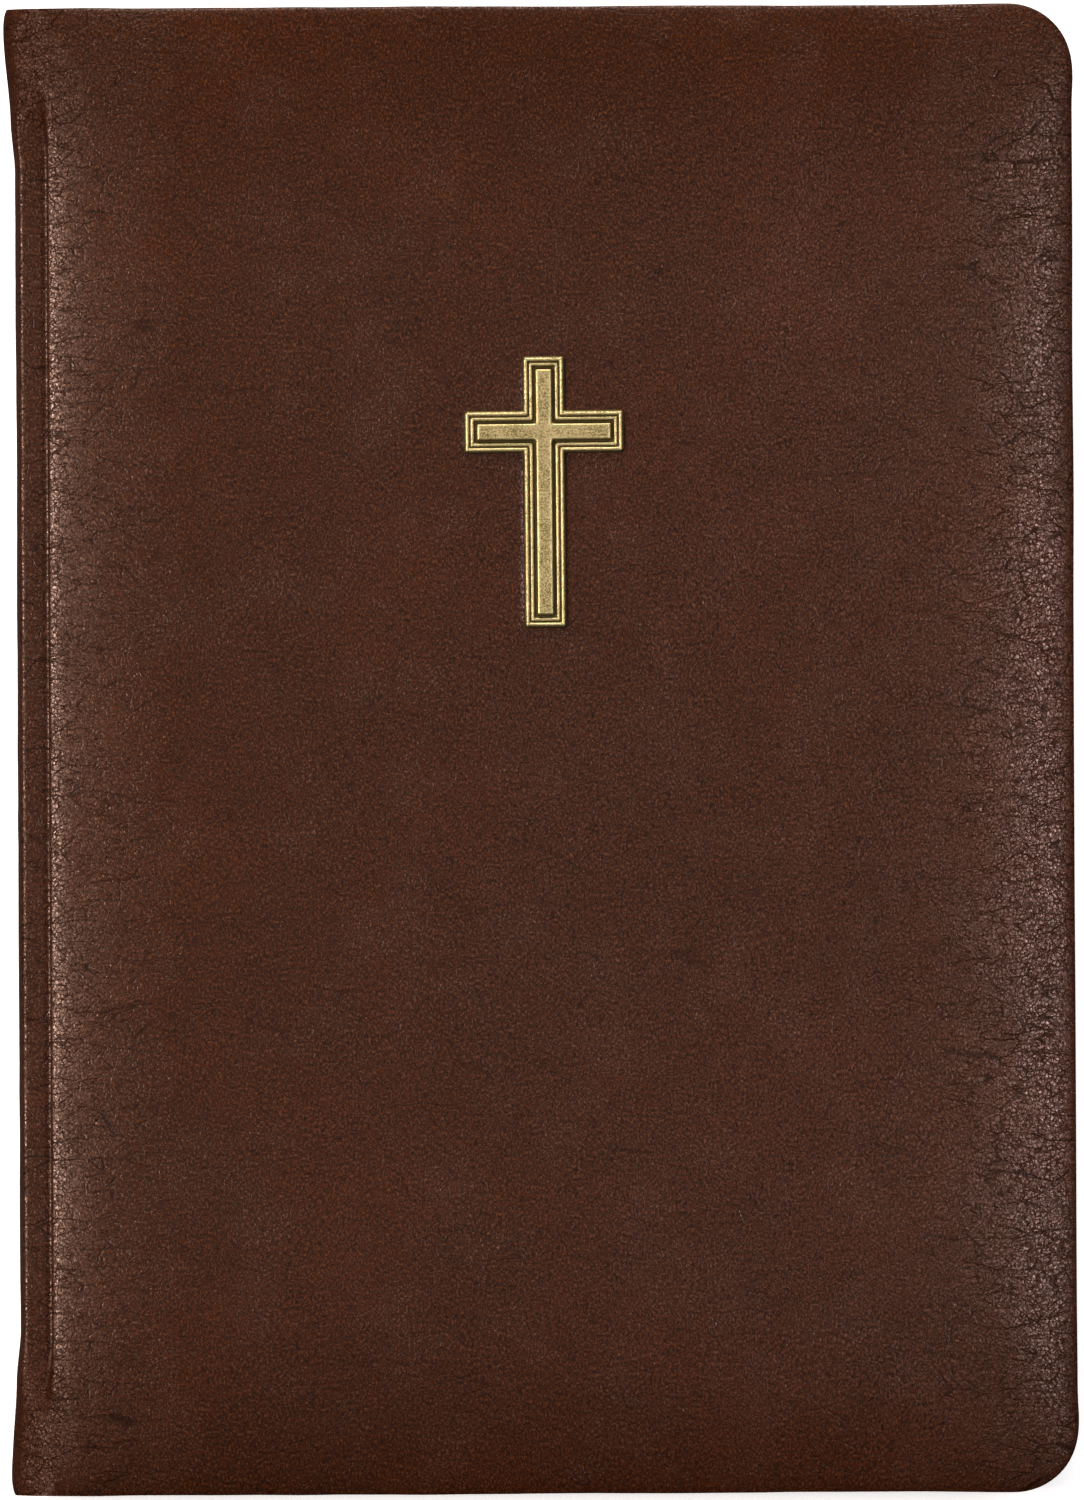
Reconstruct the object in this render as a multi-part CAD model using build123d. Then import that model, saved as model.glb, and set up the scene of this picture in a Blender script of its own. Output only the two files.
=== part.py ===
"""A case-bound prayer book with a padded leatherette cover and a metal cross on the front.

Frame: +X from the spine to the fore-edge, +Y from the tail to the head, +Z from the back cover to the
front cover. The origin is under the middle of the closed book, on the surface that it lies on.
All sizes are in millimetres.
"""

from build123d import *

import math
import os

# Leaves, folded into sections that are stacked and sewn
leaf_width = 145.8
leaf_height = 210.0
page_corner_radius = 6.0
section_count = 10
section_pitch = 1.5
section_gap = 0.05
fold_flat = 0.05

# Endpapers: one sheet is pasted to each cover, and its other half is the flyleaf
endpaper_thickness = 0.15
endpaper_space = 0.2
flyleaf_spine_inset = 0.3

# The spine is rounded: the middle fold stands this far behind the outer ones
spine_round = 2.5
spine_end_inset = 0.2

# Layers on the spine, counted outward from the folds; those under the skin stop short of the joints
fold_clearance = 0.04
stitch_space = 0.45
gauze_thickness = 0.25
liner_thickness = 0.25
hollow_gap = 0.1
spine_card_thickness = 0.5
lining_end_inset = 0.7

# Covers, counted outward from the text block
skin_thickness = 0.6
board_thickness = 1.8
foam_thickness = 1.6
pad_slope_width = 16.0
pad_layers = 6
cover_corner_radius = 9.0
joint_corner_radius = 1.5
turn_in_width = 14.0
spine_turn_in = 12.0
pastedown_margin = 3.0
gauze_flap_width = 25.0
gauze_end_margin = 15.0
fore_edge_square = 2.8
head_square = 3.0
liner_end_margin = 4.0

# Each cover turns about a line in its joint, beside its inner edge and above the skin's free end
hinge_reach = 2.05
hinge_rise = 0.6

# Sewing: stations on each fold, and the thread that passes through them
sewing_half_length = 90.0
stitches_per_fold = 3
thread_radius = 0.17
thread_clearance = 0.04

# Woven bands at the head and tail of the spine
band_bead_radius = 0.8
band_inset = 0.6
band_flange_depth = 9.0
band_flange_thickness = 0.3

# Cross emblem, held by two posts that are peened over washers behind the board
emblem_height = 39.3
emblem_width = 23.1
emblem_arm = 6.0
emblem_arm_below_top = 10.9
emblem_below_head = 50.9
emblem_thickness = 1.0
emblem_corner_radius = 0.5
emblem_seat_depth = 0.3
emblem_seat_clearance = 0.15
rim_width = 0.6
rim_step = 0.15
ledge_width = 0.65
moat_depth = 0.55
bar_width = 2.1
bar_rise = 0.1
post_radius = 0.8
post_end_distance = 6.0
post_clearance = 0.1
post_head_radius = 1.3
post_head_thickness = 0.25
washer_radius = 2.4
washer_thickness = 0.3
washer_clearance = 0.2

# Heights through the closed book
cover_stack = skin_thickness + board_thickness + foam_thickness + skin_thickness
block_thickness = section_count * section_pitch
block_bottom = cover_stack + 2 * endpaper_space
block_top = block_bottom + block_thickness
mid_height = (block_bottom + block_top) / 2
book_thickness = block_top + block_bottom
front_inner = book_thickness - cover_stack

# Radii of the rounded spine's layers about one line
half_block = block_thickness / 2
half_section = (section_pitch - section_gap) / 2
fold_round = half_section - fold_flat / 2
fold_radius = (half_block**2 + spine_round**2) / (2 * spine_round)
gauze_radius = fold_radius + stitch_space
liner_radius = gauze_radius + gauze_thickness
spine_turn_in_radius = liner_radius + liner_thickness + hollow_gap
spine_card_radius = spine_turn_in_radius + skin_thickness
spine_skin_radius = spine_card_radius + spine_card_thickness
crest_radius = spine_skin_radius + skin_thickness

# How far above and below its middle each layer of the spine reaches
fold_rise = half_block - section_pitch / 2
skin_rise = half_block - spine_end_inset
lining_rise = skin_rise - lining_end_inset


def fold_setback(height):
    """How far in front of the middle fold a fold is at a height, to touch the spine's curve inside."""
    middle_radius = fold_radius - fold_round
    return middle_radius - math.sqrt(middle_radius**2 - (height - mid_height) ** 2)


# Places across the book, from the spine's crest to the fore-edge
cover_height = leaf_height + 2 * head_square
outer_fold_setback = fold_setback(block_top - section_pitch / 2)
spine_stack = crest_radius - fold_radius
book_width = spine_stack + outer_fold_setback + leaf_width + fore_edge_square
crest_x = -book_width / 2
cover_right = book_width / 2
spine_axis_x = crest_x + crest_radius
middle_fold_x = spine_axis_x - fold_radius
board_left = middle_fold_x + spine_round
cover_left = board_left - skin_thickness
hinge_x = cover_left - hinge_reach
front_hinge_z = front_inner + hinge_rise
back_hinge_z = cover_stack - hinge_rise

# Place of the emblem on the front cover
emblem_top_y = cover_height / 2 - emblem_below_head
emblem_center_y = emblem_top_y - emblem_height / 2
emblem_arm_y = emblem_top_y - emblem_arm_below_top
post_places = [emblem_top_y - post_end_distance, emblem_top_y - emblem_height + post_end_distance]

# Heights inside one cover, from its inner face outward
board_bottom = skin_thickness
board_top = board_bottom + board_thickness
foam_top = board_top + foam_thickness
emblem_bottom = cover_stack - emblem_seat_depth


def block(x0, x1, y0, y1, z0, z1):
    """A box between two corners."""
    return Pos((x0 + x1) / 2, (y0 + y1) / 2, (z0 + z1) / 2) * Box(x1 - x0, y1 - y0, z1 - z0)


def panel_outline(x0, x1, half_y, right_radius, left_radius=0.0):
    """A flat panel's outline with rounded corners at the fore-edge, and at the joint if asked."""
    outline = Pos((x0 + x1) / 2, 0) * Rectangle(x1 - x0, 2 * half_y)
    outline = fillet(outline.vertices().group_by(Axis.X)[-1], right_radius)
    if left_radius:
        outline = fillet(outline.vertices().group_by(Axis.X)[0], left_radius)
    return outline


def cover_outline(inset):
    """The cover's outline, moved in by a distance."""
    return panel_outline(
        cover_left + inset,
        cover_right - inset,
        cover_height / 2 - inset,
        cover_corner_radius - min(inset, skin_thickness),
        joint_corner_radius - min(inset, skin_thickness),
    )


def pillow(first_height, depth, crown):
    """A panel with a straight edge up to the board's top and an elliptic slope from there to its crown."""
    layers = [Pos(0, 0, first_height) * cover_outline(depth)]
    for step in range(pad_layers + 1):
        angle = math.radians(90 * step / pad_layers)
        inset = pad_slope_width - (pad_slope_width - depth) * math.cos(angle)
        height = board_top + (crown - board_top) * math.sin(angle)
        if height > first_height:
            layers.append(Pos(0, 0, height) * cover_outline(inset))
    return loft(layers, ruled=True)


def cross_outline(inset):
    """The emblem's cross, moved in by a distance."""
    upright = Pos(0, emblem_center_y) * Rectangle(emblem_arm - 2 * inset, emblem_height - 2 * inset)
    arms = Pos(0, emblem_arm_y) * Rectangle(emblem_width - 2 * inset, emblem_arm - 2 * inset)
    return upright + arms


def layer(outline, z0, z1):
    """An outline raised between two heights."""
    return Pos(0, 0, z0) * extrude(outline, z1 - z0)


def post_cylinders(radius, z0, z1):
    """One upright cylinder at each emblem post."""
    return [Pos(0, y, (z0 + z1) / 2) * Cylinder(radius, z1 - z0) for y in post_places]


def cut_all(shape, tools):
    """A shape with every tool taken out of it."""
    for tool in tools:
        shape = shape - tool
    return shape


def cover_layers():
    """One cover's plain layers, with z counted outward from its inner face."""
    board = layer(cover_outline(skin_thickness), board_bottom, board_top)
    foam = pillow(board_top, skin_thickness, foam_top)
    window = block(
        cover_left - 1,
        cover_right - turn_in_width,
        turn_in_width - cover_height / 2,
        cover_height / 2 - turn_in_width,
        -1,
        board_bottom,
    )
    skin = pillow(0, 0, cover_stack) - board - foam - window
    flap_right = board_left + gauze_flap_width
    half_window = cover_height / 2 - turn_in_width
    flap = block(board_left, flap_right, -half_window, half_window, 0, board_bottom)
    infill = block(
        flap_right, cover_right - turn_in_width, -half_window, half_window, 0, board_bottom
    )
    pastedown_outline = panel_outline(
        board_left,
        cover_right - pastedown_margin,
        cover_height / 2 - pastedown_margin,
        page_corner_radius,
    )
    pastedown = layer(pastedown_outline, -endpaper_thickness, 0)
    return {
        "skin": skin,
        "foam_pad": foam,
        "board": board,
        "infill_card": infill,
        "gauze_flap": flap,
        "pastedown": pastedown,
    }


def cross_emblem():
    """The metal cross with a stepped frame, a raised bar and two posts, in the front cover's heights."""
    top = emblem_bottom + emblem_thickness
    plate = layer(cross_outline(0), emblem_bottom, top)
    plate = fillet(plate.edges().filter_by(Axis.Z), emblem_corner_radius)
    plate -= layer(cross_outline(rim_width), top - rim_step, top)
    plate -= layer(cross_outline(rim_width + ledge_width), top - moat_depth, top)
    plate += layer(cross_outline((emblem_arm - bar_width) / 2), top - moat_depth, top + bar_rise)
    head_bottom = board_bottom - washer_thickness - post_head_thickness
    for post in post_cylinders(post_radius, head_bottom, emblem_bottom):
        plate += post
    for head in post_cylinders(post_head_radius, head_bottom, head_bottom + post_head_thickness):
        plate += head
    return plate


def emblem_washers():
    """The washers behind the board that the posts are peened over."""
    bottom = board_bottom - washer_thickness
    rings = []
    for outer, hole in zip(
        post_cylinders(washer_radius, bottom, board_bottom),
        post_cylinders(post_radius, bottom - 1, board_bottom + 1),
    ):
        rings.append(outer - hole)
    return Compound(children=rings)


def front_cover():
    """The front cover's pieces at the top of the closed book."""
    made = cover_layers()
    seat = layer(cross_outline(-emblem_seat_clearance), emblem_bottom, cover_stack + 1)
    holes = post_cylinders(post_radius + post_clearance, board_bottom, cover_stack)
    wells = post_cylinders(washer_radius + washer_clearance, -1, board_bottom)
    made["skin"] = cut_all(made["skin"] - seat, holes)
    made["foam_pad"] = cut_all(made["foam_pad"], holes)
    made["board"] = cut_all(made["board"], holes)
    made["infill_card"] = cut_all(made["infill_card"], wells)
    pieces = {f"front_{name}": shape for name, shape in made.items()}
    pieces["cross_emblem"] = cross_emblem()
    pieces["emblem_washers"] = emblem_washers()
    return {name: Pos(0, 0, front_inner) * shape for name, shape in pieces.items()}


def back_cover():
    """The back cover's pieces, which face down."""
    place = Pos(0, 0, cover_stack)
    made = cover_layers()
    return {f"back_{name}": place * mirror(shape, about=Plane.XY) for name, shape in made.items()}


def spine_shell(inner, outer, half_y, half_rise):
    """A curved layer of the spine, between two radii and up to a height either side of its middle."""
    end = math.degrees(math.asin(half_rise / inner))
    reach = 2 * outer
    ring = Circle(outer) - Circle(inner)
    # the wedge's points are on rays at the layer's end angles
    wedge = make_face(
        Polyline(
            (0, 0),
            (-reach * math.cos(math.radians(end)), reach * math.sin(math.radians(end))),
            (-reach, 0),
            (-reach * math.cos(math.radians(end)), -reach * math.sin(math.radians(end))),
            close=True,
        )
    )
    profile = Plane.XZ * (ring & wedge)
    shell = extrude(profile, half_y, both=True)
    return Pos(spine_axis_x, 0, mid_height) * shell


def spine_skin():
    """The leatherette over the spine, turned in over the card at the head and tail."""
    half_y = cover_height / 2
    card_half = half_y - skin_thickness
    skin = spine_shell(spine_skin_radius, crest_radius, half_y, skin_rise)
    ends = spine_shell(spine_turn_in_radius, crest_radius, half_y, lining_rise)
    ends -= block(crest_x - 1, 0, -card_half, card_half, 0, book_thickness)
    inner_half = card_half - spine_turn_in
    turned = spine_shell(spine_turn_in_radius, spine_card_radius, card_half, lining_rise)
    turned -= block(crest_x - 1, 0, -inner_half, inner_half, 0, book_thickness)
    return skin + ends + turned


def joint_skin(hinge_side):
    """The strip of skin that flexes between the spine and one cover; hinge_side is 1 at the front."""
    end = math.asin(skin_rise / spine_skin_radius)
    wall_x = cover_left - spine_axis_x
    wall_low = front_inner + board_bottom - mid_height
    points = [
        (-crest_radius * math.cos(end), crest_radius * math.sin(end)),
        (-spine_skin_radius * math.cos(end), spine_skin_radius * math.sin(end)),
        (wall_x, wall_low),
        (wall_x, wall_low + skin_thickness),
    ]
    profile = make_face(Polyline(*[(x, hinge_side * z) for x, z in points], close=True))
    strip = extrude(Plane.XZ * profile, cover_height / 2 - joint_corner_radius, both=True)
    return Pos(spine_axis_x, 0, mid_height) * strip


def spine_arc_tube(radius, tube_radius, y, half_rise):
    """A round cord bent along the spine's curve at one place on its length."""
    end = math.degrees(math.asin(half_rise / radius))
    path = Plane.XZ * CenterArc((0, 0), radius, 180 - end, 2 * end)
    section = Plane(path @ 0, z_dir=path % 0) * Circle(tube_radius)
    return Pos(spine_axis_x, y, mid_height) * sweep(section, path)


def sewing_stations():
    """The places along the spine where the thread passes through each fold."""
    count = 2 * stitches_per_fold
    pitch = 2 * sewing_half_length / (count - 1)
    return [-sewing_half_length + index * pitch for index in range(count)]


def spine_stitches():
    """The thread's runs across the folds, outside them, at each sewing station."""
    radius = fold_radius + fold_clearance + thread_radius
    runs = [spine_arc_tube(radius, thread_radius, y, fold_rise) for y in sewing_stations()]
    return Compound(children=runs)


def end_band(side):
    """A woven band at the head (side 1) or tail (side -1) of the spine: a bead and a glued flange."""
    bead_y = leaf_height / 2 + fold_clearance + band_bead_radius
    bead = spine_arc_tube(fold_radius - band_inset, band_bead_radius, side * bead_y, fold_rise)
    flange_radius = fold_radius + fold_clearance
    flange = spine_shell(flange_radius, flange_radius + band_flange_thickness, bead_y, fold_rise)
    inner_end = leaf_height / 2 - band_flange_depth
    low, high = sorted([side * inner_end, -side * leaf_height])
    return bead + (flange - block(crest_x, 0, low, high, 0, book_thickness))


def spine_pieces():
    """Everything that stays with the spine."""
    gauze_half = cover_height / 2 - gauze_end_margin
    liner_half = cover_height / 2 - liner_end_margin
    card_half = cover_height / 2 - skin_thickness
    return {
        "spine_skin": spine_skin(),
        "spine_card": spine_shell(spine_card_radius, spine_skin_radius, card_half, lining_rise),
        "spine_liner": spine_shell(
            liner_radius, liner_radius + liner_thickness, liner_half, lining_rise
        ),
        "spine_gauze": spine_shell(gauze_radius, liner_radius, gauze_half, lining_rise),
        "spine_stitches": spine_stitches(),
        "headband": end_band(1),
        "tailband": end_band(-1),
        "front_joint_skin": joint_skin(1),
        "back_joint_skin": joint_skin(-1),
    }


def section_height(number):
    """The height of a section's middle; section 1 is under the front cover."""
    return block_top - (number - 0.5) * section_pitch


def section_fold(number):
    """Where a section's fold is across the book."""
    return middle_fold_x + fold_setback(section_height(number))


def section_thread_path(number, radius):
    """The thread inside one fold: long stitches along it, and the short runs out through the fold."""
    fold_x, height = section_fold(number), section_height(number)
    inside_x = fold_x + section_pitch / 2
    stations = sewing_stations()
    stitches = []
    for low, high in zip(stations[0::2], stations[1::2]):
        run = Pos(inside_x, (low + high) / 2, height) * Rot(90, 0, 0) * Cylinder(radius, high - low)
        for y in (low, high):
            run += Pos(inside_x, y, height) * Sphere(radius)
            out = Cylinder(radius, inside_x - fold_x)
            run += Pos((inside_x + fold_x) / 2, y, height) * Rot(0, 90, 0) * out
        stitches.append(run)
    return stitches


def section(number):
    """One folded and sewn section of the text block."""
    fold_x, height = section_fold(number), section_height(number)
    outline = panel_outline(fold_x, fold_x + leaf_width, leaf_height / 2, page_corner_radius)
    leaves = layer(outline, height - half_section, height + half_section)
    left_edges = leaves.edges().filter_by(Axis.Y).group_by(Axis.X)[0]
    leaves = fillet(left_edges, fold_round)
    return cut_all(leaves, section_thread_path(number, thread_radius + thread_clearance))


def flyleaf(bottom):
    """One free endpaper leaf, over the text block or under it."""
    margin = (endpaper_space - endpaper_thickness) / 2
    outline = panel_outline(
        board_left + flyleaf_spine_inset,
        section_fold(1) + leaf_width,
        leaf_height / 2,
        page_corner_radius,
    )
    return layer(outline, bottom + margin, bottom + margin + endpaper_thickness)


def text_block():
    """The sections with their thread, and the two flyleaves."""
    made = {
        "front_flyleaf": flyleaf(block_top),
        "back_flyleaf": flyleaf(block_bottom - endpaper_space),
    }
    for number in range(1, section_count + 1):
        made[f"section_{number:02d}"] = section(number)
        threads = section_thread_path(number, thread_radius)
        made[f"thread_{number:02d}"] = Compound(children=threads)
    return made


def build():
    """Every piece of the book, by node name."""
    return {**front_cover(), **back_cover(), **spine_pieces(), **text_block()}


if __name__ == "__main__":
    os.makedirs("parts", exist_ok=True)
    for node, shape in build().items():
        export_step(shape, f"parts/{node}.step")
    print("book", round(book_width, 2), "x", cover_height, "x", round(book_thickness, 2))
    print("front hinge at", round(hinge_x, 3), round(front_hinge_z, 3))
    print("back hinge at", round(hinge_x, 3), round(back_hinge_z, 3))
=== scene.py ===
"""A prayer book in padded leatherette with a brass cross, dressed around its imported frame.

Shapes are worked out in millimetres in the frame's axes: +X from the spine to the fore-edge, +Y to the
head and +Z to the front cover. They become metres when each mesh is made.
"""

import math

import bpy
import numpy as np
from mathutils import Matrix, Vector


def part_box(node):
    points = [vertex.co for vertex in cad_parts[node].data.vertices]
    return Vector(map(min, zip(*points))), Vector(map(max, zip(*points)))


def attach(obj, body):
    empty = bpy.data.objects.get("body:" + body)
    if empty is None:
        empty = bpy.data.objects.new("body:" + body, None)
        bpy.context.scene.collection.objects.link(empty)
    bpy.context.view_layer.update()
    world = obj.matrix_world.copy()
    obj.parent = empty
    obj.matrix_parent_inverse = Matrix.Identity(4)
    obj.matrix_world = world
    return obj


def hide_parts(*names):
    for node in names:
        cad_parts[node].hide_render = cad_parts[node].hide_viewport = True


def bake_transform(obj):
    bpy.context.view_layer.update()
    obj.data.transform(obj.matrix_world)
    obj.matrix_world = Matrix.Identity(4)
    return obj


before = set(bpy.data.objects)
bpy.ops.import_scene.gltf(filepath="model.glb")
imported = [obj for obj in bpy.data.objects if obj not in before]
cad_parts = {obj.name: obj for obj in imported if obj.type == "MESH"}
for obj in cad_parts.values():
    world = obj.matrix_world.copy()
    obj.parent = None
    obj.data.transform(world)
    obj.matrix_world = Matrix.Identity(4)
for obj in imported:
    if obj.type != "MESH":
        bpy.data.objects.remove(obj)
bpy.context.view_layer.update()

MM = 0.001


def box_mm(node):
    """A CAD node's lowest and highest corners, in millimetres."""
    low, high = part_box(node)
    return np.array(low) / MM, np.array(high) / MM


# Sizes read from the frame
SKIN_LOW, SKIN_HIGH = box_mm("front_skin")
SPINE_LOW, SPINE_HIGH = box_mm("spine_skin")
BOARD_HIGH = box_mm("front_board")[1]
CROSS_LOW, CROSS_HIGH = box_mm("cross_emblem")
HALF_Y = SKIN_HIGH[1]
CREST_X = SPINE_LOW[0]
COVER_LEFT, COVER_RIGHT = SKIN_LOW[0], SKIN_HIGH[0]
MID_Z = (SPINE_LOW[2] + SPINE_HIGH[2]) / 2
INNER_H = SKIN_LOW[2] - MID_Z
CROWN_H = SKIN_HIGH[2] - MID_Z
WALL_TOP_H = BOARD_HIGH[2] - MID_Z

# Sizes that the frame's boxes don't give, as the model has them
SPINE_RADIUS = 15.25  # of the spine's outside, about the axis that its layers share
CORNER_RADIUS = 9.0
LEAF_CORNER = 6.0
SLOPE_WIDTH = 16.0  # the pad's steep edge
GENTLE_WIDTH = 22.0  # the pad's gentle rise inside it
TURN_IN = 13.5
SPINE_TURN_IN = 11.5
SPINE_WALL = 1.7
CROSS_ARM = 6.0
CROSS_ARM_Y = CROSS_HIGH[1] - 10.9
SECTIONS = 10
STATIONS = np.linspace(-90, 90, 6)  # where the thread passes through each fold

# Points along each side of the cross's outline, from the head's right corner clockwise
SIDE_STEPS = [12, 14, 8, 14, 30, 8, 30, 14, 8, 14, 12, 8]

# The stage: the image's height, its scale on the cover, and the camera's distance and floor's level in metres
IMAGE_HEIGHT = 1500
PIXEL_MM = 0.14526
CAMERA_DISTANCE = 5.0
SENSOR_MM = 36.0
FLOOR_Z = -0.0003


# ---------------------------------------------------------------- numbers


def smooth(t):
    """0 to 1 with flat ends."""
    t = np.clip(t, 0.0, 1.0)
    return t * t * (3 - 2 * t)


def lattice(ix, iy, seed):
    """A repeatable value from 0 to 1 at whole-number places."""
    n = (ix.astype(np.int64) * 374761393 + iy.astype(np.int64) * 668265263 + seed * 974634777) & 0xFFFFFFFF
    n = ((n ^ (n >> 13)) * 1274126177) & 0xFFFFFFFF
    return ((n ^ (n >> 16)) & 0xFFFF) / 65535.0


def noise2(x, y, size, seed):
    """Smooth noise from -1 to 1 with features of about this size."""
    x, y = np.asarray(x, float) / size, np.asarray(y, float) / size
    ix, iy = np.floor(x), np.floor(y)
    fx, fy = smooth(x - ix), smooth(y - iy)
    low = lattice(ix, iy, seed) * (1 - fx) + lattice(ix + 1, iy, seed) * fx
    high = lattice(ix, iy + 1, seed) * (1 - fx) + lattice(ix + 1, iy + 1, seed) * fx
    return 2 * (low * (1 - fy) + high * fy) - 1


def resample(points, steps):
    """Places along a polyline at the given distances from its start."""
    points = np.asarray(points, float)
    run = np.concatenate([[0], np.cumsum(np.linalg.norm(np.diff(points, axis=0), axis=1))])
    return np.stack([np.interp(steps, run, points[:, k]) for k in range(points.shape[1])], 1)


def length_of(points):
    """The length of a polyline."""
    return float(np.linalg.norm(np.diff(np.asarray(points, float), axis=0), axis=1).sum())


def softened(points, passes):
    """A polyline with its corners rounded by averaging, its ends kept."""
    points = np.array(points, float)
    for _ in range(passes):
        points[1:-1] = 0.25 * points[:-2] + 0.5 * points[1:-1] + 0.25 * points[2:]
    return points


# ---------------------------------------------------------------- meshes


def grid_faces(rows, columns, first=0, flip=False, closed=False):
    """The quads of a grid of points stored row by row; closed joins the last column to the first."""
    faces = []
    across = columns if closed else columns - 1
    for r in range(rows - 1):
        for c in range(across):
            d = (c + 1) % columns
            quad = (
                first + r * columns + c,
                first + r * columns + d,
                first + (r + 1) * columns + d,
                first + (r + 1) * columns + c,
            )
            faces.append(quad[::-1] if flip else quad)
    return faces


def make_piece(name, points, faces, material, attributes=None):
    """A smooth-shaded mesh object from points in millimetres."""
    mesh = bpy.data.meshes.new(name)
    mesh.from_pydata((np.asarray(points, float) * MM).tolist(), [], faces)
    mesh.update()
    mesh.polygons.foreach_set("use_smooth", [True] * len(mesh.polygons))
    for key, values in (attributes or {}).items():
        values = np.asarray(values, np.float32)
        kind = "FLOAT_VECTOR" if values.ndim == 2 else "FLOAT"
        data = mesh.attributes.new(key, kind, "POINT").data
        data.foreach_set("vector" if values.ndim == 2 else "value", values.ravel())
    mesh.materials.append(material)
    piece = bpy.data.objects.new(name, mesh)
    bpy.context.scene.collection.objects.link(piece)
    return piece


# ---------------------------------------------------------------- materials


class Shader:
    """A material's node tree, with short calls to add nodes and join them."""

    def __init__(self, name):
        """An empty Principled material of this name."""
        self.material = bpy.data.materials.new(name)
        self.material.use_nodes = True
        self.tree = self.material.node_tree
        self.surface = self.tree.nodes["Principled BSDF"]

    def add(self, kind, inputs=None, output=0, **settings):
        """A node with its settings and inputs; an input is a number, a colour or another node's socket."""
        made = self.tree.nodes.new("ShaderNode" + kind)
        for key, value in settings.items():
            setattr(made, key, value)
        for key, value in (inputs or {}).items():
            self.put(made.inputs[key], value)
        return made.outputs[output]

    def put(self, socket, value):
        """Gives a socket a constant or a link."""
        if isinstance(value, bpy.types.NodeSocket):
            self.tree.links.new(value, socket)
        elif hasattr(socket.default_value, "__len__") and len(value) == 3 and len(socket.default_value) == 4:
            socket.default_value = (*value, 1.0)
        else:
            socket.default_value = value

    def math(self, operation, a, b=0.0, c=0.0):
        """Arithmetic on numbers."""
        return self.add("Math", {0: a, 1: b, 2: c}, operation=operation)

    def vector(self, operation, a, b=(0, 0, 0), output=0):
        """Arithmetic on vectors."""
        return self.add("VectorMath", {0: a, 1: b}, output, operation=operation)

    def step(self, value, low, high, to_low=0.0, to_high=1.0):
        """A smooth step of a value, from one range to another."""
        names = {"Value": value, "From Min": low, "From Max": high, "To Min": to_low, "To Max": to_high}
        return self.add("MapRange", names, interpolation_type="SMOOTHSTEP")

    def noise(self, place, scale, detail=2.0, rough=0.5, output=0):
        """Cloudy noise; its second output is a colour."""
        names = {"Vector": place, "Scale": scale, "Detail": detail, "Roughness": rough}
        return self.add("TexNoise", names, output)

    def cells(self, place, scale):
        """The distance to the nearest edge between irregular cells."""
        return self.add("TexVoronoi", {"Vector": place, "Scale": scale}, feature="DISTANCE_TO_EDGE")

    def mix(self, share, a, b):
        """A colour between two."""
        made = self.tree.nodes.new("ShaderNodeMix")
        made.data_type = "RGBA"
        for socket, value in ((made.inputs[0], share), (made.inputs[6], a), (made.inputs[7], b)):
            self.put(socket, value)
        return made.outputs[2]

    def bump(self, height, distance, strength=1.0, normal=None):
        """A relief's normal, over another one if given."""
        names = {"Height": height, "Distance": distance, "Strength": strength}
        if normal is not None:
            names["Normal"] = normal
        return self.add("Bump", names)

    def finish(self, **inputs):
        """Joins the surface's inputs and gives the material."""
        for key, value in inputs.items():
            self.put(self.surface.inputs[key.replace("_", " ")], value)
        return self.material


def place_mm(shader, attribute=None):
    """The place on a piece in millimetres: its own attribute, or its place in the frame."""
    if attribute:
        return shader.add("Attribute", output=1, attribute_name=attribute)
    spot = shader.add("TexCoord", output=3)
    return shader.vector("MULTIPLY", spot, (1000.0, 1000.0, 1000.0))


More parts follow.
